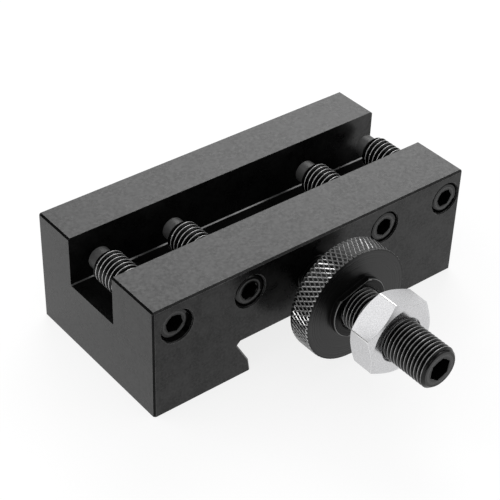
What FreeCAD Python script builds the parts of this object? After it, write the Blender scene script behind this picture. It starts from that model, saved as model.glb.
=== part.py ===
import FreeCAD, Part
import math
import os

from FreeCAD import Vector

os.makedirs("parts", exist_ok=True)

# Quick change tool holder for turning and facing. A steel block carries a slot for
# the shank of a lathe tool on top and a dovetail underneath, which slides down over
# the dovetail of a tool post. Four dog point screws clamp the shank in the slot.
# A stud on the front carries a knurled height nut, which stops on the post, and a
# hexagon nut that locks it.
# Millimetres. X runs along the tool, Y from the front (the stud) to the back, Z up.
# The origin lies on the base plane, at the middle of the dovetail.

# Block
block_length = 88.9
block_height = 29.0
front_rail = 14.85
back_rail = 12.25
edge_chamfer = 0.45

# Slot for the tool shank, open at the top and at both ends
slot_width = 16.8
slot_depth = 12.9
slot_corner = 0.25

# Dovetail, open downwards and at front and back. Its lip is blunted by a land, which
# leans back from the mouth, and below the roof its corner is cut off.
dovetail_mouth = 36.3
dovetail_land = 3.1
dovetail_lean = 0.5
dovetail_angle = 60.0
dovetail_height = 10.0
dovetail_corner = 1.1
dovetail_lead = 0.4

# Clamp screws: socket set screws with a full dog point. As shown, the deepest one
# stops screw_tip_gap short of the slot's back wall, which gives their length.
screw_diameter = 8.0
screw_tip_gap = 2.05
screw_chamfer = 0.45
screw_from_top = 6.25
screw_from_end = 5.6
screw_pair_pitch = 19.3
screw_row_shift = 0.6
screw_sink = [1.1, 0.3, 0.3, 0.3]
screw_turn = [45.0, 2.0, 31.0, 0.0]
dog_diameter = 5.5
dog_length = 2.8
dog_chamfer = 0.4
screw_socket = 4.0
screw_socket_depth = 4.5
screw_hole_chamfer = 0.25

# Height stud: a long socket set screw in a blind hole
stud_diameter = 10.0
stud_reach = 39.3
stud_depth = 10.7
stud_chamfer = 0.7
stud_height = 18.5
stud_socket = 5.0
stud_socket_depth = 5.0
stud_socket_turn = 22.0
stud_hole_chamfer = 0.4

# Knurled height nut
knurl_diameter = 27.9
knurl_width = 5.65
knurl_gap = 7.6
knurl_edge = 0.35
knurl_count = 72
knurl_helix = 30.0
knurl_depth = 0.42
hub_diameter = 14.7
hub_height = 1.35
hub_flats = 12.0
hub_turn = 18.0
hub_chamfer = 0.25

# Hexagon lock nut
nut_flats = 16.9
nut_thickness = 7.0
nut_gap = 6.1
nut_turn = 40.6
nut_face_angle = 30.0
nut_face_share = 0.95

# Fits
thread_clearance = 0.05
bore_chamfer = 0.5
drill_point_angle = 118.0
socket_drill_step = 0.1
tolerance = 1e-6

block_depth = front_rail + slot_width + back_rail
front = -block_depth / 2
back = block_depth / 2
slot_front = front + front_rail
slot_back = slot_front + slot_width
slot_floor = block_height - slot_depth
screw_height = block_height - screw_from_top
screw_length = front_rail + slot_width - max(screw_sink) - screw_tip_gap

X = Vector(1, 0, 0)
Y = Vector(0, 1, 0)


def prism(points, way):
    """A solid from a closed outline, pushed along a vector."""
    corners = [Vector(*p) for p in points]
    wire = Part.makePolygon(corners + [corners[0]])
    return Part.Face(wire).extrude(way)


def turned(profile, x, z):
    """A solid of revolution about a line along Y: profile is a list of (radius, y)."""
    corners = [Vector(x + radius, y, z) for radius, y in profile]
    wire = Part.makePolygon(corners + [corners[0]])
    return Part.Face(wire).revolve(Vector(x, 0, z), Y, 360)


def hexagon(across_flats, turn, x, y, z, way):
    """A hexagonal bar from the plane y, with one corner turned from the X axis."""
    corner_radius = across_flats / math.sqrt(3)
    points = []
    for k in range(6):
        angle = math.radians(turn + 60 * k)
        points.append((x + corner_radius * math.cos(angle), y, z + corner_radius * math.sin(angle)))
    return prism(points, way)


def socket(across_flats, depth, turn, x, y, z):
    """Hexagon socket, sunk from the plane y into the piece, with a drilled point below."""
    hole = hexagon(across_flats, turn, x, y, z, Y * depth)
    drill = across_flats / 2 - socket_drill_step
    bottom = y + depth
    point = drill / math.tan(math.radians(drill_point_angle / 2))
    return hole.fuse(turned([(0, bottom), (drill, bottom), (0, bottom + point)], x, z))


def screw_places():
    """X of each clamp screw, from the left: a pair near each end of the block."""
    outer = block_length / 2 - screw_from_end
    inner = outer - screw_pair_pitch
    return [screw_row_shift + x for x in (-outer, -inner, inner, outer)]


def dovetail_cutter():
    """The dovetail's section, pushed through the block from front to back."""
    mouth = dovetail_mouth / 2
    lip = mouth + dovetail_lean
    flank_top = dovetail_height - dovetail_corner
    undercut = lip + (flank_top - dovetail_land) / math.tan(math.radians(dovetail_angle))
    roof_corner = undercut - dovetail_corner
    right = [(mouth, 0), (lip, dovetail_land), (undercut, flank_top), (roof_corner, dovetail_height)]
    left = [(-x, z) for x, z in reversed(right)]
    outline = right + left
    channel = prism([(x, front, z) for x, z in outline], Y * block_depth)
    lead = dovetail_lead
    for y, way in ((front, Y * lead), (back, -Y * lead)):
        wide = [(x + math.copysign(lead, x), y, z) for x, z in outline]
        near = [(x, y + way.y, z) for x, z in outline]
        wires = [Part.makePolygon([Vector(*p) for p in ring + [ring[0]]]) for ring in (wide, near)]
        channel = channel.fuse(Part.makeLoft(wires, True, True))
    return channel


def slot_cutter():
    """The tool slot's section, pushed through the block from end to end."""
    c = slot_corner
    floor = slot_floor
    top = block_height
    section = [(slot_front, top), (slot_front, floor + c), (slot_front + c, floor),
               (slot_back - c, floor), (slot_back, floor + c), (slot_back, top)]
    return prism([(-block_length / 2, y, z) for y, z in section], X * block_length)


def same(a, b):
    """Whether two places agree to within the modelling tolerance."""
    return abs(a - b) < tolerance


def outer_edges(block):
    """The block's long top edges, its end edges at the top and its four upright corners."""
    chosen = []
    for edge in block.Edges:
        box = edge.BoundBox
        at_end = same(box.XMin, box.XMax) and same(abs(box.XMin), block_length / 2)
        at_side = same(box.YMin, box.YMax) and same(abs(box.YMin), block_depth / 2)
        on_top = same(box.ZMin, block_height)
        if (on_top and (at_end or at_side)) or (at_end and at_side):
            chosen.append(edge)
    return chosen


def holder_body():
    block = Part.makeBox(block_length, block_depth, block_height, Vector(-block_length / 2, front, 0))
    block = block.cut(slot_cutter())
    block = block.makeChamfer(edge_chamfer, outer_edges(block))
    block = block.cut(dovetail_cutter())
    hole = screw_diameter / 2 + thread_clearance
    mouth = hole + screw_hole_chamfer
    for x in screw_places():
        block = block.cut(turned([(0, front), (mouth, front), (hole, front + screw_hole_chamfer),
                                  (hole, slot_front), (0, slot_front)], x, screw_height))
    stud_hole = stud_diameter / 2
    stud_mouth = stud_hole + stud_hole_chamfer
    bottom = front + stud_depth
    point = stud_hole / math.tan(math.radians(drill_point_angle / 2))
    block = block.cut(turned([(0, front), (stud_mouth, front), (stud_hole, front + stud_hole_chamfer),
                              (stud_hole, bottom), (0, bottom + point)], 0, stud_height))
    return block


def set_screw(x, sink, turn):
    """A clamp screw with its socket at the front and its dog point in the slot."""
    radius = screw_diameter / 2
    dog = dog_diameter / 2
    head = front + sink
    tip = head + screw_length
    shoulder = tip - dog_length
    shank = turned([(0, head), (radius - screw_chamfer, head), (radius, head + screw_chamfer),
                    (radius, shoulder - (radius - dog)), (dog, shoulder), (dog, tip - dog_chamfer),
                    (dog - dog_chamfer, tip), (0, tip)], x, screw_height)
    return shank.cut(socket(screw_socket, screw_socket_depth, turn, x, head, screw_height))


def height_stud():
    radius = stud_diameter / 2
    inner = front + stud_depth
    outer = front - stud_reach
    stud = turned([(0, outer), (radius - stud_chamfer, outer), (radius, outer + stud_chamfer),
                   (radius, inner - stud_chamfer), (radius - stud_chamfer, inner), (0, inner)],
                  0, stud_height)
    return stud.cut(socket(stud_socket, stud_socket_depth, stud_socket_turn, 0, outer, stud_height))


def knurl_blank(y_low, y_high):
    """A drum of pointed diamonds: crossed V grooves at the helix angle leave a pyramid at
    each crest, whose four sides run down to the groove bottoms."""
    crest = knurl_diameter / 2
    valley = crest - knurl_depth
    step = 2 * math.pi / knurl_count
    row = crest * step / 2 / math.tan(math.radians(knurl_helix))
    middle = (y_low + y_high) / 2
    half_rows = math.ceil((y_high - y_low) / 2 / row) + 1

    def at(radius, half_steps, rows):
        angle = half_steps * step / 2
        return Vector(radius * math.cos(angle), middle + rows * row, stud_height + radius * math.sin(angle))

    def triangle(a, b, c):
        return Part.Face(Part.makePolygon([a, b, c, a]))

    faces = []
    for j in range(-half_rows + 1, half_rows):
        for k in range(knurl_count):
            i = 2 * k + j % 2
            top = at(crest, i, j)
            ring = [at(valley, i - 1, j), at(valley, i, j - 1), at(valley, i + 1, j), at(valley, i, j + 1)]
            for a, b in zip(ring, ring[1:] + ring[:1]):
                faces.append(triangle(top, a, b))
    for j in (-half_rows, half_rows):
        inward = -1 if j > 0 else 1
        rim = []
        for k in range(knurl_count):
            i = 2 * k + j % 2
            rim.append(at(valley, i, j))
            faces.append(triangle(at(valley, i, j), at(valley, i + 1, j + inward), at(valley, i + 2, j)))
        faces.append(Part.Face(Part.makePolygon(rim + [rim[0]])))
    shell = Part.Shell(faces)
    return Part.makeSolid(shell)


def knurl_blank_ends(rim, low, high):
    """The drum that trims the knurl: flat ends and a chamfer, with a side for each groove."""
    def ring(radius, y):
        points = []
        for k in range(knurl_count):
            angle = 2 * math.pi * k / knurl_count
            points.append(Vector(radius * math.cos(angle), y, stud_height + radius * math.sin(angle)))
        return Part.makePolygon(points + [points[0]])

    edge = knurl_edge
    clear = rim / math.cos(math.pi / knurl_count)
    rings = [ring(clear - edge, low), ring(clear, low + edge), ring(clear, high - edge), ring(clear - edge, high)]
    return Part.makeLoft(rings, True, True)


def knurled_nut():
    """The height nut: a knurled flange with a low hub that has two spanner flats."""
    rim = knurl_diameter / 2
    inner = front - knurl_gap
    outer = inner - knurl_width
    top = outer - hub_height
    hub = hub_diameter / 2
    nut = knurl_blank(outer, inner).common(knurl_blank_ends(rim, outer, inner))
    boss = turned([(0, inner), (hub, inner), (hub, top + hub_chamfer), (hub - hub_chamfer, top), (0, top)],
                  0, stud_height)
    flats = Part.makeBox(knurl_diameter, hub_height, hub_flats,
                         Vector(-rim, top, stud_height - hub_flats / 2))
    flats.rotate(Vector(0, 0, stud_height), Y, -hub_turn)
    return nut.fuse(boss.common(flats)).cut(stud_bore(top, inner))


def stud_bore(low, high):
    """The hole of a nut on the stud, with both mouths chamfered."""
    hole = stud_diameter / 2 + thread_clearance
    mouth = hole + bore_chamfer
    return turned([(0, low), (mouth, low), (hole, low + bore_chamfer), (hole, high - bore_chamfer),
                   (mouth, high), (0, high)], 0, stud_height)


def lock_nut():
    """The hexagon nut, both faces turned down to a cone that rounds off the corners."""
    inner = front - knurl_gap - knurl_width - hub_height - nut_gap
    outer = inner - nut_thickness
    face = nut_flats / 2 * nut_face_share
    corner = nut_flats / math.sqrt(3)
    drop = (corner - face) * math.tan(math.radians(nut_face_angle))
    cones = turned([(0, outer), (face, outer), (corner, outer + drop), (corner, inner - drop),
                    (face, inner), (0, inner)], 0, stud_height)
    bar = hexagon(nut_flats, nut_turn, 0, outer, stud_height, Y * nut_thickness)
    return bar.common(cones).cut(stud_bore(outer, inner))


parts = {
    "holder_body": holder_body(),
    "height_stud": height_stud(),
    "knurled_nut": knurled_nut(),
    "lock_nut": lock_nut(),
}
for number, (x, sink, turn) in enumerate(zip(screw_places(), screw_sink, screw_turn), start=1):
    parts["clamp_screw_%d" % number] = set_screw(x, sink, turn)

for name, shape in parts.items():
    shape = shape.removeSplitter()
    solids = shape.Solids
    print(name, shape.ShapeType, len(solids), shape.isValid(), round(shape.Volume, 1), len(shape.Faces))
    solids[0].exportStep("parts/" + name + ".step")
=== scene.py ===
import math

import bmesh
import bpy
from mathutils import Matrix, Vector


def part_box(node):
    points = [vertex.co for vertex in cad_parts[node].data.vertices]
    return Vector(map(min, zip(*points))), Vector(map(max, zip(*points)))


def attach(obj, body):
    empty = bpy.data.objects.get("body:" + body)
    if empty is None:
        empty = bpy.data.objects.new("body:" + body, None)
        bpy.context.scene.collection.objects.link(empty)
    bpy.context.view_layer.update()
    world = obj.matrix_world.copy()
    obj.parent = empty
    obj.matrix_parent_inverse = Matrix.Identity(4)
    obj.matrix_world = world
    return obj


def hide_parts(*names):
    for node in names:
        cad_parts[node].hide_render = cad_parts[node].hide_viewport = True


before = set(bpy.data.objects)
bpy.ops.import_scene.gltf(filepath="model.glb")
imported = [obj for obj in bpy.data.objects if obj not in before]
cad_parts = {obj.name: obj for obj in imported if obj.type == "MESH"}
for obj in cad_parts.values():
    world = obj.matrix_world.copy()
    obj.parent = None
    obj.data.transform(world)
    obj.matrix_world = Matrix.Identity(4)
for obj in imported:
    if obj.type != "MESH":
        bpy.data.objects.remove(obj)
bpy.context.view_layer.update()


# The block
# A bar of steel, milled with the tool slot on top and the dovetail underneath, ground flat
# and blacked in a hot oxide bath. Its edges are lightened, partly rubbed and partly a
# painted highlight, a painted highlight runs along the slot's back corner, and painted shade
# darkens the end chamfers and the rim of the stud hole behind the knob.

weld = 0.000001
flat_within = 0.4
block_edge_break = 0.00010
block_sharp_edge = 30
block_rubbed_highlight_width = 0.8 * block_edge_break
slot_corner = (0.0097, 0.0161)
slot_corner_reach = 0.0003
slot_corner_painted_highlight = 1.7
stud_hole_height = 0.0185
stud_hole_rim = 0.0075
block_black = (0.0025, 0.0025, 0.0026, 1)
block_black_worn = (0.0090, 0.0090, 0.0090, 1)
block_rubbed_highlight = (0.42, 0.42, 0.42, 1)
block_rubbed_highlight_bare = 0.9
block_gloss = 1.42
block_dull = (0.22, 0.36)
block_dull_patches = (0.25, 0.75)
block_patch_scale = 230
block_patch_break_up = 0.62
block_speck_scale = 1500
block_film = 0.45
block_film_patches = (0.8, 1.2)
stud_hole_painted_shade = 0.9
end_chamfer_lean = 0.7071
end_chamfer_lean_spread = 0.12
end_chamfer_painted_shade = 0.85
grinding_scale = (60, 2600, 2600)
grinding_strength = 0.12
grinding_depth = 0.00002


def skin_of(node, name):
    """The frame's piece as one closed skin: its triangles merged, flat areas joined."""
    skin = bpy.data.objects.new(name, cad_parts[node].data.copy())
    bpy.context.collection.objects.link(skin)
    bpy.ops.object.select_all(action="DESELECT")
    bpy.context.view_layer.objects.active = skin
    skin.select_set(True)
    bpy.ops.object.mode_set(mode="EDIT")
    bpy.ops.mesh.select_mode(type="VERT")
    bpy.ops.mesh.select_all(action="SELECT")
    bpy.ops.mesh.remove_doubles(threshold=weld)
    bpy.ops.mesh.dissolve_limited(angle_limit=math.radians(flat_within))
    bpy.ops.mesh.customdata_custom_splitnormals_clear()
    bpy.ops.object.mode_set(mode="OBJECT")
    return skin


def break_edges(piece, width, sharper_than):
    """Rounds each edge sharper than an angle, as a file or a tumbler does."""
    bpy.ops.object.select_all(action="DESELECT")
    bpy.context.view_layer.objects.active = piece
    piece.select_set(True)
    bpy.ops.object.shade_smooth()
    bevel = piece.modifiers.new("Edge break", "BEVEL")
    bevel.width = width
    bevel.segments = 2
    bevel.limit_method = "ANGLE"
    bevel.angle_limit = math.radians(sharper_than)
    bevel.harden_normals = True
    bpy.ops.object.modifier_apply(modifier=bevel.name)


def breadth(piece, face):
    """How wide a narrow face is: its area over its longest side."""
    points = piece.data.vertices
    return face.area / max((points[a].co - points[b].co).length for a, b in face.edge_keys)


def new_finish(name):
    """An empty finish: the material, its node tree and its shader."""
    finish = bpy.data.materials.new(name)
    finish.use_nodes = True
    return finish, finish.node_tree, finish.node_tree.nodes["Principled BSDF"]


def feed(tree, socket, value):
    """Links a socket to another one, or sets it to a plain value."""
    if isinstance(value, bpy.types.NodeSocket):
        tree.links.new(value, socket)
    else:
        socket.default_value = value


def reckon(tree, operation, *values):
    """The result of a sum on sockets and numbers."""
    node = tree.nodes.new("ShaderNodeMath")
    node.operation = operation
    for socket, value in zip(node.inputs, values):
        feed(tree, socket, value)
    return node.outputs["Value"]


def ranged(tree, value, start, end):
    """A value moved from one range to another, and kept inside it."""
    node = tree.nodes.new("ShaderNodeMapRange")
    for name, number in zip(("From Min", "From Max", "To Min", "To Max"), (*start, *end)):
        node.inputs[name].default_value = number
    tree.links.new(value, node.inputs["Value"])
    return node.outputs["Result"]


def blend(tree, share, a, b):
    """A number or a colour that goes from a to b as the share goes from 0 to 1."""
    node = tree.nodes.new("ShaderNodeMix")
    node.data_type = "RGBA" if isinstance(b, tuple) else "FLOAT"
    feed(tree, node.inputs["Factor"], share)
    feed(tree, node.inputs["A"], a)
    feed(tree, node.inputs["B"], b)
    return node.outputs["Result"]


def noise(tree, place, scale, detail):
    """A cloudy pattern of one grain size."""
    node = tree.nodes.new("ShaderNodeTexNoise")
    node.inputs["Scale"].default_value = scale
    node.inputs["Detail"].default_value = detail
    tree.links.new(place, node.inputs["Vector"])
    return node.outputs["Fac"]


def axes_of(tree, vector):
    """The X, Y and Z of a vector, each as a socket."""
    node = tree.nodes.new("ShaderNodeSeparateXYZ")
    tree.links.new(vector, node.inputs["Vector"])
    return node.outputs


def marked(tree, name):
    """What the mesh says under a name, as a socket."""
    node = tree.nodes.new("ShaderNodeAttribute")
    node.attribute_name = name
    return node.outputs["Fac"]


def emboss(tree, shader, pattern, strength, depth):
    """Raises a finish by a pattern."""
    relief = tree.nodes.new("ShaderNodeBump")
    relief.inputs["Strength"].default_value = strength
    relief.inputs["Distance"].default_value = depth
    tree.links.new(pattern, relief.inputs["Height"])
    tree.links.new(relief.outputs["Normal"], shader.inputs["Normal"])


def put_on(piece, finish):
    """Gives a piece one finish all over."""
    piece.data.materials.clear()
    piece.data.materials.append(finish)


black_oxide, tree, shader = new_finish("ground_black_oxide")
place = tree.nodes.new("ShaderNodeTexCoord").outputs
patches = noise(tree, place["Object"], block_patch_scale, detail=8)
patches.node.inputs["Roughness"].default_value = block_patch_break_up
specks = noise(tree, place["Object"], block_speck_scale, detail=4)
both = reckon(tree, "ADD", patches, specks)
film = ranged(tree, both, block_film_patches, (block_film, 0))
# Painted shade: the end chamfers, found by which way they face, are darkened.
endwards = reckon(tree, "ABSOLUTE", axes_of(tree, place["Normal"])["X"])
end_chamfer = reckon(tree, "COMPARE", endwards, end_chamfer_lean, end_chamfer_lean_spread)
end_chamfer_shade = reckon(tree, "MULTIPLY", end_chamfer, end_chamfer_painted_shade)
# The marks on the faces: 1 on narrow edge faces, rubbed and lightened as a painted
# highlight; more along the slot's back corner, a painted highlight; -1 round the stud hole,
# painted shade.
wear_and_painted_light = marked(tree, "rubbed_and_painted_light")
# Painted shade: faces marked -1 round the stud hole, behind the knob, are darkened.
painted_shade_between_parts = reckon(tree, "MULTIPLY", wear_and_painted_light, -stud_hole_painted_shade)
dark = reckon(tree, "MAXIMUM", film, reckon(tree, "MAXIMUM", end_chamfer_shade, painted_shade_between_parts))
rub_and_highlight = reckon(tree, "MULTIPLY", wear_and_painted_light, patches)
tone = blend(tree, patches, block_black, block_black_worn)
stretch = tree.nodes.new("ShaderNodeMapping")
stretch.inputs["Scale"].default_value = grinding_scale
tree.links.new(place["Object"], stretch.inputs["Vector"])
grinding = noise(tree, stretch.outputs["Vector"], 1, detail=3)
shader.inputs["IOR"].default_value = block_gloss
feed(tree, shader.inputs["Base Color"], blend(tree, rub_and_highlight, tone, block_rubbed_highlight))
feed(tree, shader.inputs["Metallic"], blend(tree, rub_and_highlight, dark, block_rubbed_highlight_bare))
dull = ranged(tree, patches, block_dull_patches, block_dull)
feed(tree, shader.inputs["Roughness"], dull)
emboss(tree, shader, grinding, grinding_strength, grinding_depth)

block = skin_of("holder_body", "block")
break_edges(block, block_edge_break, block_sharp_edge)
rubbed_and_painted_light = block.data.attributes.new("rubbed_and_painted_light", "FLOAT", "FACE")
for face in block.data.polygons:
    x, y, z = face.center
    # Painted shade round the stud hole, where the knob shades the block's front.
    if y < 0 and math.hypot(x, z - stud_hole_height) < stud_hole_rim:
        rubbed_and_painted_light.data[face.index].value = -1
    # A painted highlight along the corner between the slot's floor and its back wall.
    elif math.hypot(y - slot_corner[0], z - slot_corner[1]) < slot_corner_reach:
        rubbed_and_painted_light.data[face.index].value = slot_corner_painted_highlight
    # Narrow edge faces: partly rubbed wear, partly a painted highlight.
    elif breadth(block, face) < block_rubbed_highlight_width:
        rubbed_and_painted_light.data[face.index].value = 1
put_on(block, black_oxide)
put_on(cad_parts["holder_body"], black_oxide)
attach(block, "holder")
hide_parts("holder_body")


# The clamp screws
# Four socket set screws with dog points, rolled from alloy steel, hardened, blacked and
# oiled. Each runs in a tapped hole of the front rail and bears on the tool's shank.

screw_radius = 0.0040
screw_pitch = 0.00125
screw_length = 0.0285
screw_chamfer = 0.00045
dog_radius = 0.00275
dog_length = 0.0028
dog_chamfer = 0.0004
screw_socket = 0.0040
screw_socket_depth = 0.0045
socket_countersink = 0.00012
drill_point_share = 0.6
drill_sides = 48
screw_turns = (45, 2, 31, 0)
screw_sides = 48
screw_blank_sides = 64
thread_half_angle = 30
thread_depth_share = 0.6134
thread_crest_share = 1 / 8
thread_wear_share = 0.032
wear_starts_before = 0.58
wear_ends_after = 1.15
thread_start_share = -1.37
thread_shading = 38
tool_overlap = 0.0001
oiled_black = (0.0025, 0.0025, 0.0025, 1)
oiled_black_crest_highlight = (0.75, 0.75, 0.75, 1)
oiled_black_dog = (0.30, 0.30, 0.30, 1)
oiled_gloss = 1.34
oiled_dull = (0.12, 0.24)
oiled_grain_scale = 900
crest_heights = (0.984, 0.996)
crest_bare_highlight = 0.9
socket_heights = (0.60, 0.66)
dog_heights = (0.72, 0.76)
dog_bare = 0.26


def draw_line(name, axis_point, points):
    """One line of edges through points: (distance from the axis, distance along it)."""
    bpy.ops.object.select_all(action="DESELECT")
    bpy.ops.mesh.primitive_plane_add(size=0.001, location=axis_point)
    line = bpy.context.object
    line.name = name
    bpy.ops.object.mode_set(mode="EDIT")
    bpy.ops.mesh.select_mode(type="VERT")
    bpy.ops.mesh.select_all(action="SELECT")
    bpy.ops.mesh.merge(type="CENTER")
    bpy.ops.transform.translate(value=(points[0][0], points[0][1], 0))
    for before, after in zip(points, points[1:]):
        step = (after[0] - before[0], after[1] - before[1], 0)
        bpy.ops.mesh.extrude_vertices_move(TRANSFORM_OT_translate={"value": step})
    bpy.ops.object.mode_set(mode="OBJECT")
    return line


def turn_on_lathe(name, axis_point, points, steps):
    """A turned piece: the line swept once round the axis, which runs along Y."""
    turned = draw_line(name, axis_point, points)
    bpy.ops.object.mode_set(mode="EDIT")
    bpy.ops.mesh.select_all(action="SELECT")
    bpy.ops.mesh.spin(steps=steps, angle=2 * math.pi, center=axis_point, axis=(0, 1, 0))
    bpy.ops.mesh.select_all(action="SELECT")
    bpy.ops.mesh.remove_doubles(threshold=weld)
    bpy.ops.mesh.normals_make_consistent(inside=False)
    bpy.ops.object.mode_set(mode="OBJECT")
    return turned


def roll_thread(name, axis_point, radius, pitch, length, steps):
    """A bar along Y with a right-hand sixty degree thread, longer than length at both ends.
    Its crests are worn round: the last bit of each flank leans over at thirty degrees."""
    depth = thread_depth_share * pitch
    flank = depth * math.tan(math.radians(thread_half_angle))
    crest = thread_crest_share * pitch
    root = pitch - crest - 2 * flank
    worn = thread_wear_share * pitch
    low = thread_start_share * pitch
    rise = low + root + flank
    before = wear_starts_before * worn
    after = wear_ends_after * worn
    turn = [(radius - depth, low), (radius - depth, low + root),
            (radius - worn, rise - before), (radius, rise + after),
            (radius, rise + crest - after), (radius - worn, rise + crest + before),
            (radius - depth, low + pitch)]
    bar = draw_line(name, axis_point, turn)
    screw = bar.modifiers.new("Thread", "SCREW")
    screw.axis = "Y"
    screw.angle = 2 * math.pi
    screw.screw_offset = pitch
    screw.iterations = math.ceil(length / pitch) + 2
    screw.steps = steps
    screw.render_steps = steps
    bpy.ops.object.modifier_apply(modifier=screw.name)
    bpy.ops.object.mode_set(mode="EDIT")
    bpy.ops.mesh.select_mode(type="EDGE")
    bpy.ops.mesh.select_all(action="SELECT")
    bpy.ops.mesh.remove_doubles(threshold=weld)
    for side, past_end in ((-1, low - pitch), (1, length + 3 * pitch)):
        bpy.ops.mesh.select_all(action="DESELECT")
        skin = bmesh.from_edit_mesh(bar.data)
        for edge in skin.edges:
            if edge.is_boundary and (edge.verts[0].co.y - length / 2) * side > 0:
                edge.select = True
        skin.select_flush_mode()
        bmesh.update_edit_mesh(bar.data)
        bpy.ops.mesh.extrude_edges_move()
        end = Vector(axis_point) + Vector((0, past_end, 0))
        bpy.ops.transform.resize(value=(1, 0, 1), center_override=end)
        bpy.ops.mesh.edge_face_add()
    bpy.ops.mesh.select_all(action="SELECT")
    bpy.ops.mesh.normals_make_consistent(inside=False)
    if bmesh.from_edit_mesh(bar.data).calc_volume(signed=True) < 0:
        bpy.ops.mesh.flip_normals()
    bpy.ops.object.mode_set(mode="OBJECT")
    return bar


def machine(piece, tool, way):
    """Keeps what a piece shares with a tool's shape, or takes that shape out of it."""
    bpy.ops.object.select_all(action="DESELECT")
    bpy.context.view_layer.objects.active = piece
    piece.select_set(True)
    cut = piece.modifiers.new("Cut", "BOOLEAN")
    cut.operation = way
    cut.solver = "EXACT"
    cut.object = tool
    bpy.ops.object.modifier_apply(modifier=cut.name)
    bpy.data.objects.remove(tool)


def sink_socket(piece, axis_point, across_flats, depth, turn):
    """A hexagon socket with a broached bottom, a drilled point and a small countersink."""
    bpy.ops.object.select_all(action="DESELECT")
    bpy.ops.mesh.primitive_cylinder_add(
        vertices=6, radius=across_flats / math.sqrt(3), depth=2 * depth, location=axis_point,
        rotation=(math.pi / 2, math.radians(30 - turn), 0))
    machine(piece, bpy.context.object, "DIFFERENCE")
    drill = across_flats / 2 - tool_overlap
    mouth = across_flats / 2 + socket_countersink
    before = 2 * tool_overlap
    tool = turn_on_lathe("drill", axis_point, [
        (0, -before), (mouth + before, -before), (mouth, 0), (drill, mouth - drill),
        (drill, depth), (0, depth + drill * drill_point_share)], drill_sides)
    machine(piece, tool, "DIFFERENCE")


def mark_crests(piece, radius):
    """Keeps on the mesh how far out each point is, as a share of the thread's radius."""
    height = piece.data.attributes.new("thread_height", "FLOAT", "POINT")
    for number, point in enumerate(piece.data.vertices):
        height.data[number].value = math.hypot(point.co.x, point.co.z) / radius


def settle(piece, sharp):
    """Puts a finished piece's place into its mesh, and rounds its shading up to an angle."""
    bpy.ops.object.select_all(action="DESELECT")
    bpy.context.view_layer.objects.active = piece
    piece.select_set(True)
    bpy.ops.object.transform_apply(location=True, rotation=True, scale=True)
    bpy.ops.object.shade_smooth_by_angle(angle=math.radians(sharp))


def near_end(low, high):
    """The middle of a round piece's near end, from its box: where its axis starts."""
    return (low[0] + high[0]) / 2, low[1], (low[2] + high[2]) / 2


oiled_oxide, tree, shader = new_finish("oiled_black_oxide")
place = tree.nodes.new("ShaderNodeTexCoord").outputs
grain = noise(tree, place["Object"], oiled_grain_scale, detail=4)
height = marked(tree, "thread_height")
# The crests are lightened and made metallic: partly worn bare, partly a painted highlight.
crest = ranged(tree, height, crest_heights, (0, crest_bare_highlight))
thinner = ranged(tree, height, dog_heights, (dog_bare, 0))
past_socket = ranged(tree, height, socket_heights, (0, 1))
turned = reckon(tree, "MULTIPLY", thinner, past_socket)
tone = blend(tree, crest, oiled_black, oiled_black_crest_highlight)
tone.node.name = "Crest highlight tone"
patchy = reckon(tree, "MULTIPLY", crest, grain)
dull = ranged(tree, grain, (0, 1), oiled_dull)
shader.inputs["IOR"].default_value = oiled_gloss
feed(tree, shader.inputs["Base Color"], blend(tree, turned, tone, oiled_black_dog))
feed(tree, shader.inputs["Metallic"], reckon(tree, "ADD", patchy, turned))
feed(tree, shader.inputs["Roughness"], reckon(tree, "ADD", dull, turned))

low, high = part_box("clamp_screw_1")
head = near_end(low, high)
first_screw = roll_thread("clamp_screw_thread_1", head, screw_radius, screw_pitch,
                          screw_length, screw_sides)
shoulder = screw_length - dog_length
blank = turn_on_lathe("screw_blank", head, [
    (0, 0), (screw_radius - screw_chamfer, 0),
    (screw_radius + tool_overlap, screw_chamfer + tool_overlap),
    (screw_radius + tool_overlap, shoulder - (screw_radius - dog_radius) - tool_overlap),
    (dog_radius, shoulder), (dog_radius, screw_length - dog_chamfer),
    (dog_radius - dog_chamfer, screw_length), (0, screw_length)], screw_blank_sides)
machine(first_screw, blank, "INTERSECT")
sink_socket(first_screw, head, screw_socket, screw_socket_depth, 0)
mark_crests(first_screw, screw_radius)
screws = [first_screw]
for number in (2, 3, 4):
    bpy.ops.object.select_all(action="DESELECT")
    bpy.context.view_layer.objects.active = first_screw
    first_screw.select_set(True)
    bpy.ops.object.duplicate(linked=False)
    screw = bpy.context.object
    screw.name = "clamp_screw_thread_%d" % number
    low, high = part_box("clamp_screw_%d" % number)
    screw.location = near_end(low, high)
    screws.append(screw)
for number, (screw, turn) in enumerate(zip(screws, screw_turns), start=1):
    screw.rotation_euler = (0, -math.radians(turn), 0)
    settle(screw, thread_shading)
    put_on(screw, oiled_oxide)
    put_on(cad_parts["clamp_screw_%d" % number], oiled_oxide)
    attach(screw, "clamp_screw_%d" % number)
    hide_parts("clamp_screw_%d" % number)


# The height stud
# A long M10 set screw with a fine thread, screwed into a blind hole in the front of the
# block. It carries both nuts, and its socket faces outwards.

stud_radius = 0.0050
stud_pitch = 0.0010
stud_chamfer = 0.0007
stud_socket = 0.0050
stud_socket_depth = 0.0050
stud_turn = 22
stud_sides = 56
stud_blank_sides = 72
stud_crest_highlight = (0.45, 0.45, 0.45, 1)
stud_painted_shade_from = -0.0300
stud_painted_shade_share = 0.95

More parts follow.
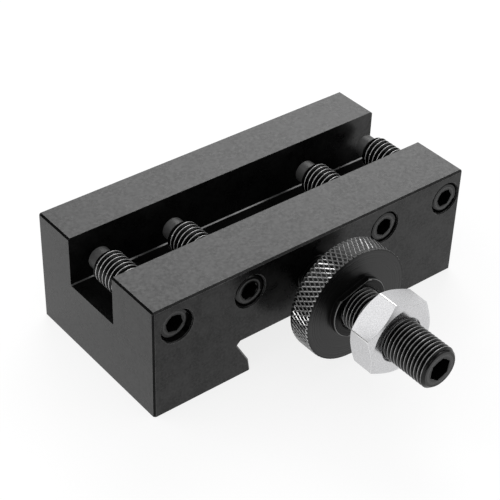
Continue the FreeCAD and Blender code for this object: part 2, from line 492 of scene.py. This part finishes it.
low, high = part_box("height_stud")
stud_end = (0, low[1], (low[2] + high[2]) / 2)
stud_length = high[1] - low[1]
stud = roll_thread("stud_thread", stud_end, stud_radius, stud_pitch, stud_length, stud_sides)
blank = turn_on_lathe("stud_blank", stud_end, [
    (0, 0), (stud_radius - stud_chamfer, 0),
    (stud_radius + tool_overlap, stud_chamfer + tool_overlap),
    (stud_radius + tool_overlap, stud_length - stud_chamfer - tool_overlap),
    (stud_radius - stud_chamfer, stud_length), (0, stud_length)], stud_blank_sides)
machine(stud, blank, "INTERSECT")
sink_socket(stud, stud_end, stud_socket, stud_socket_depth, stud_turn)
mark_crests(stud, stud_radius)
height = stud.data.attributes["thread_height"]
# Painted shade: the crests between the block and the knob lose their highlight, because
# their marked height is lowered.
for number, point in enumerate(stud.data.vertices):
    if point.co.y + stud_end[1] > stud_painted_shade_from:
        height.data[number].value *= stud_painted_shade_share
settle(stud, thread_shading)
stud_oxide = oiled_oxide.copy()
stud_oxide.name = "stud_black_oxide"
stud_oxide.node_tree.nodes["Crest highlight tone"].inputs["B"].default_value = stud_crest_highlight
put_on(stud, stud_oxide)
put_on(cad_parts["height_stud"], stud_oxide)
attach(stud, "holder")
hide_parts("height_stud")


# The knurled nut
# Turned from bar, with a crossed knurl rolled into the flange, two spanner flats milled on
# the hub, and the tool marks of the facing cut left on its faces. It is blacked all over.

knurl_root = 0.01353
knurl_crest = 0.01395
knurl_edge = 0.00035
knurl_edge_kept = 0.00012
knurl_edge_ring = knurl_edge / 8
knurl_edge_rings = 10
knurl_width = 0.00565
knurl_full_depth = 0.0046
knurl_rise = 0.00032
knurl_flat_share = 60
knurl_crest_rings = 20
knurl_wall_lean = 0.4
knurl_wall_lean_spread = 0.25
below_knurl = 0.0008
hub_edge_break = 0.00010
hub_sharp_edge = 30
hub_rubbed_highlight_width = 0.9 * hub_edge_break
hub_rims = (0.0055, 0.0080)
hub_front = 0.0005
nut_shading = 25
finest = 0.00001
groove_sink = 3 * finest
knurl_black = (0.0030, 0.0030, 0.0030, 1)
knurl_wall_burnish_highlight_grey = (0.38, 0.38, 0.38, 1)
knurl_wall_burnish_highlight_bare = 0.85
knurl_groove_burnish = 0.65
knurl_top_darkening = 0.45
hub_face_painted_shade = 0.85
hub_face_depth = 0.00005
hub_edge_rubbed_highlight = 0.6
turned_gloss = 1.39
turned_dull = (0.24, 0.36)
tool_mark_scale = 2100
tool_mark_detail = 2
tool_mark_strength = 0.8
tool_mark_depth = 0.00005

turned_oxide, tree, shader = new_finish("turned_black_oxide")
place = tree.nodes.new("ShaderNodeTexCoord").outputs
spot = axes_of(tree, place["Object"])
across = tree.nodes.new("ShaderNodeCombineXYZ")
feed(tree, across.inputs["X"], spot["X"])
feed(tree, across.inputs["Z"], reckon(tree, "SUBTRACT", spot["Z"], stud_end[2]))
from_axis = tree.nodes.new("ShaderNodeVectorMath")
from_axis.operation = "LENGTH"
feed(tree, from_axis.inputs[0], across.outputs["Vector"])
radius = from_axis.outputs["Value"]
groove_middle = (knurl_root + knurl_crest) / 2 - groove_sink
# The groove walls are lightened and made metallic: partly burnished by the knurling wheel,
# partly a painted highlight.
groove = reckon(tree, "COMPARE", radius, groove_middle, (knurl_crest - knurl_root) / 2)
sideways = reckon(tree, "ABSOLUTE", axes_of(tree, place["Normal"])["Y"])
wall = reckon(tree, "COMPARE", sideways, knurl_wall_lean, knurl_wall_lean_spread)
rolled = reckon(tree, "MULTIPLY", groove, wall)
bright = reckon(tree, "MAXIMUM", rolled, marked(tree, "rubbed_and_painted_light"))
burnish_and_highlight_metal = reckon(tree, "MULTIPLY", bright, knurl_wall_burnish_highlight_bare)
# Everything above the knurl's root reflects less and looks darker.
on_rim = reckon(tree, "GREATER_THAN", radius, knurl_root)
crest = reckon(tree, "MULTIPLY", on_rim, knurl_top_darkening)
hub_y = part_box("knurled_nut")[0][1]
# Painted shade: the hub's face, in the gap between the knob and the lock nut, is darkened.
hub_face = reckon(tree, "COMPARE", spot["Y"], hub_y, hub_face_depth)
painted_shade_between_parts = reckon(tree, "MULTIPLY", hub_face, hub_face_painted_shade)
metal = reckon(tree, "MAXIMUM", reckon(tree, "MAXIMUM", burnish_and_highlight_metal, crest), painted_shade_between_parts)
rings = tree.nodes.new("ShaderNodeTexNoise")
rings.noise_dimensions = "1D"
rings.inputs["Scale"].default_value = tool_mark_scale
rings.inputs["Detail"].default_value = tool_mark_detail
feed(tree, rings.inputs["W"], radius)
dull = ranged(tree, rings.outputs["Fac"], (0, 1), turned_dull)
burnished = ranged(tree, rolled, (0, 1), (1, knurl_groove_burnish))
shader.inputs["IOR"].default_value = turned_gloss
feed(tree, shader.inputs["Base Color"], blend(tree, bright, knurl_black, knurl_wall_burnish_highlight_grey))
feed(tree, shader.inputs["Metallic"], metal)
feed(tree, shader.inputs["Roughness"], reckon(tree, "MULTIPLY", dull, burnished))
emboss(tree, shader, rings.outputs["Fac"], tool_mark_strength, tool_mark_depth)


def choose(piece, points_wanted):
    """Selects the points of a piece in edit mode that pass a test of their place."""
    bpy.ops.object.mode_set(mode="EDIT")
    bpy.ops.mesh.select_mode(type="VERT")
    bpy.ops.mesh.select_all(action="DESELECT")
    skin = bmesh.from_edit_mesh(piece.data)
    for point in skin.verts:
        point.select = points_wanted(point.co)
    skin.select_flush(True)
    bmesh.update_edit_mesh(piece.data)


def keep_edges(piece, edges_wanted):
    """Of the chosen edges of a piece in edit mode, keeps those that pass a test."""
    bpy.ops.mesh.select_mode(type="EDGE")
    skin = bmesh.from_edit_mesh(piece.data)
    for edge in skin.edges:
        edge.select = edge.select and edges_wanted(edge)
    bmesh.update_edit_mesh(piece.data)


def from_stud_axis(point):
    """How far a point is from the stud's axis."""
    return math.hypot(point.x, point.z - stud_end[2])


def spread(share, along=1, centre=stud_end):
    """Moves the chosen points out from the stud's axis, and along it, by shares."""
    bpy.ops.transform.resize(value=(share, along, share), center_override=centre)


height_nut = skin_of("knurled_nut", "knurled_height_nut")
low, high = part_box("knurled_nut")
flange_middle = high[1] - knurl_width / 2
kept = knurl_edge_kept / knurl_edge
for rim_y in (high[1], high[1] - knurl_width):
    for ring in range(knurl_edge_rings):
        inner = knurl_crest - knurl_edge_ring * (ring + 1)
        outer = inner + knurl_edge_ring
        wanted = knurl_crest - (knurl_crest - outer) * kept
        choose(height_nut, lambda point: inner < from_stud_axis(point) <= outer
               and abs(point.y - rim_y) < knurl_edge + finest)
        spread(wanted / outer, kept, (stud_end[0], rim_y, stud_end[2]))
peak = knurl_crest + knurl_rise * knurl_flat_share / 100
valley = peak - knurl_rise
choose(height_nut, lambda point: from_stud_axis(point) > knurl_crest - finest)
spread(peak / knurl_crest)
choose(height_nut, lambda point: abs(from_stud_axis(point) - knurl_root) < finest
       and abs(point.y - flange_middle) < knurl_full_depth / 2)
spread(valley / knurl_root)
choose(height_nut, lambda point: from_stud_axis(point) > knurl_crest + finest)
bpy.ops.mesh.bevel(offset_type="PERCENT", offset_pct=knurl_flat_share, affect="VERTICES",
                   clamp_overlap=False)
for ring in range(knurl_crest_rings):
    inner = knurl_crest + finest * ring
    outer = inner + finest
    choose(height_nut, lambda point: inner < from_stud_axis(point) <= outer)
    spread(knurl_crest / outer)
choose(height_nut, lambda point: from_stud_axis(point) < knurl_root - below_knurl)
keep_edges(height_nut, lambda edge: edge.calc_face_angle(0) > math.radians(hub_sharp_edge))
bpy.ops.mesh.bevel(offset=hub_edge_break, segments=2, affect="EDGES")
bpy.ops.object.mode_set(mode="OBJECT")
settle(height_nut, nut_shading)
even = height_nut.modifiers.new("Even faces", "WEIGHTED_NORMAL")
even.keep_sharp = True
bpy.ops.object.modifier_apply(modifier=even.name)
rubbed_and_painted_light = height_nut.data.attributes.new("rubbed_and_painted_light", "FLOAT", "FACE")
# The hub's narrow edge faces are lightened: partly rubbed, partly a painted highlight.
for face in height_nut.data.polygons:
    on_hub = (hub_rims[0] < from_stud_axis(face.center) < hub_rims[1]
              and face.center.y < low[1] + hub_front)
    if on_hub and breadth(height_nut, face) < hub_rubbed_highlight_width:
        rubbed_and_painted_light.data[face.index].value = hub_edge_rubbed_highlight
put_on(height_nut, turned_oxide)
put_on(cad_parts["knurled_nut"], turned_oxide)
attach(height_nut, "knurled_nut")
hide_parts("knurled_nut")


# The lock nut
# A common hexagon nut, cold formed, chamfered on both faces, and bright zinc plated. It
# locks the knurled nut's setting on the stud. Its edges carry a painted highlight.

nut_corner_round = 0.00024
nut_corner_sharp = 40
nut_corner_upright = 0.9
nut_corners_from = 0.008
nut_edge_break = 0.00012
nut_sharp_edge = 24
nut_edge_width = 0.00016
nut_outside = 0.0065
nut_edge_lean = (0.1, 0.8)
zinc = (0.65, 0.65, 0.66, 1)
zinc_dull = (0.53, 0.53, 0.54, 1)
zinc_edge_highlight = (0.95, 0.95, 0.95, 1)
zinc_roughness = (0.16, 0.26)
zinc_edge_highlight_roughness = 0.06
zinc_grain_scale = 3200
zinc_grain_strength = 0.15
zinc_grain_depth = 0.00002
zinc_crystals = (0.35, 0.65)

zinc_plate, tree, shader = new_finish("zinc_plate")
place = tree.nodes.new("ShaderNodeTexCoord").outputs
grain = noise(tree, place["Object"], zinc_grain_scale, detail=2)
crystals = ranged(tree, grain, zinc_crystals, (0, 1))
tone = blend(tree, crystals, zinc_dull, zinc)
# The marked edge faces get a near-white painted highlight.
edges = marked(tree, "rubbed_and_painted_light")
dull = ranged(tree, grain, (0, 1), zinc_roughness)
worn = reckon(tree, "MULTIPLY_ADD", edges, zinc_edge_highlight_roughness, dull)
shader.inputs["Metallic"].default_value = 1
feed(tree, shader.inputs["Base Color"], blend(tree, edges, tone, zinc_edge_highlight))
feed(tree, shader.inputs["Roughness"], worn)
emboss(tree, shader, grain, zinc_grain_strength, zinc_grain_depth)


def runs_along(edge, sharper_than):
    """Whether an edge runs along Y and is sharper than an angle."""
    along = edge.verts[0].co - edge.verts[1].co
    upright = abs(along.y) > nut_corner_upright * along.length
    return upright and edge.calc_face_angle(0) > sharper_than


nut = skin_of("lock_nut", "hexagon_nut")
choose(nut, lambda point: from_stud_axis(point) > nut_corners_from)
keep_edges(nut, lambda edge: runs_along(edge, math.radians(nut_corner_sharp)))
bpy.ops.mesh.bevel(offset=nut_corner_round, segments=3, affect="EDGES")
bpy.ops.object.mode_set(mode="OBJECT")
break_edges(nut, nut_edge_break, nut_sharp_edge)
rubbed_and_painted_light = nut.data.attributes.new("rubbed_and_painted_light", "FLOAT", "FACE")
# A painted highlight on the nut's edge faces.
for face in nut.data.polygons:
    lean = abs(face.normal.y)
    between = nut_edge_lean[0] < lean < nut_edge_lean[1]
    corner = lean <= nut_edge_lean[0] and breadth(nut, face) < nut_edge_width
    if from_stud_axis(face.center) > nut_outside and (between or corner):
        rubbed_and_painted_light.data[face.index].value = 1
put_on(nut, zinc_plate)
put_on(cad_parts["lock_nut"], zinc_plate)
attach(nut, "lock_nut")
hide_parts("lock_nut")


# The studio
# A pale floor that keeps the holder's shadow, and a pale room whose walls the steel mirrors.
# Three soft lamps hang in it, the largest behind and above, and the camera stands where the
# photographer stood.

floor_size = 6
floor_drop = 0.00005
floor_grey = (0.24, 0.24, 0.24, 1)
floor_glow = 0.81
floor_dull = 0.9
floor_gloss = 1.0
white = (1, 1, 1, 1)
left_wall = 0.17
right_wall_from = (0.05, 0.45)
back_band_middle = 0.55
back_band_edges = (0.10, 0.22)
front_wall_from = (-0.3, -0.6)
room_fill = 0.65
lamp_aim = Vector((0, -0.01, 0.015))
lamp_distance = 0.8
watts_per_area = 4
camera_place = (-0.172096, -0.206975, 0.216480)
camera_turn = (0.920558, -0.026849, -0.669482)
camera_lens = 103.58
camera_film = 36
camera_near = 0.01


def seen_directly(tree):
    """1 for what the camera sees, also in a reflection or through glass, and 0 otherwise."""
    path = tree.nodes.new("ShaderNodeLightPath").outputs
    seen = reckon(tree, "MAXIMUM", path["Is Camera Ray"], path["Is Glossy Ray"])
    return reckon(tree, "MAXIMUM", seen, path["Is Transmission Ray"])


bpy.ops.object.select_all(action="DESELECT")
bpy.ops.mesh.primitive_plane_add(size=floor_size, location=(0, 0, -floor_drop))
floor = bpy.context.object
floor.name = "floor"
paper, tree, shader = new_finish("floor_paper")
shader.inputs["Base Color"].default_value = floor_grey
shader.inputs["Roughness"].default_value = floor_dull
shader.inputs["IOR"].default_value = floor_gloss
shader.inputs["Emission Color"].default_value = white
glow = reckon(tree, "MULTIPLY", seen_directly(tree), floor_glow)
feed(tree, shader.inputs["Emission Strength"], glow)
put_on(floor, paper)

world = bpy.data.worlds.new("white_room")
bpy.context.scene.world = world
world.use_nodes = True
tree = world.node_tree
room = tree.nodes["Background"]
way = axes_of(tree, tree.nodes.new("ShaderNodeTexCoord").outputs["Generated"])
right_wall = ranged(tree, way["X"], right_wall_from, (left_wall, 1))
off_band = reckon(tree, "ABSOLUTE", reckon(tree, "SUBTRACT", way["Y"], back_band_middle))
band = ranged(tree, off_band, back_band_edges, (1, left_wall))
front_wall = ranged(tree, way["Y"], front_wall_from, (left_wall, 1))
walls = reckon(tree, "MINIMUM", right_wall, reckon(tree, "MAXIMUM", band, front_wall))
room.inputs["Color"].default_value = white
feed(tree, room.inputs["Strength"], blend(tree, seen_directly(tree), room_fill, walls))


def hang_lamp(name, way, width, height, radiance):
    """A soft box that faces the holder and hangs in a direction from it."""
    out = Vector(way).normalized()
    bpy.ops.object.light_add(type="AREA", location=lamp_aim + out * lamp_distance,
                             rotation=out.to_track_quat("Z", "Y").to_euler())
    lamp = bpy.context.object
    lamp.name = name
    lamp.data.shape = "RECTANGLE"
    lamp.data.size = width
    lamp.data.size_y = height
    lamp.data.energy = radiance * watts_per_area * width * height


hang_lamp("back_soft_box", (0.51, 0.595, 0.625), width=0.50, height=0.40, radiance=2.6)
hang_lamp("left_lamp", (-0.945, 0.10, 0.31), width=0.17, height=0.13, radiance=5.0)
hang_lamp("left_panel", (-0.50, 0.56, 0.68), width=0.35, height=0.35, radiance=1.0)

bpy.ops.object.camera_add(location=camera_place, rotation=camera_turn)
camera = bpy.context.object
camera.data.lens = camera_lens
camera.data.sensor_width = camera_film
camera.data.sensor_fit = "HORIZONTAL"
camera.data.clip_start = camera_near
camera.data.dof.use_dof = False
bpy.context.scene.camera = camera
bpy.context.scene.view_settings.view_transform = "Standard"
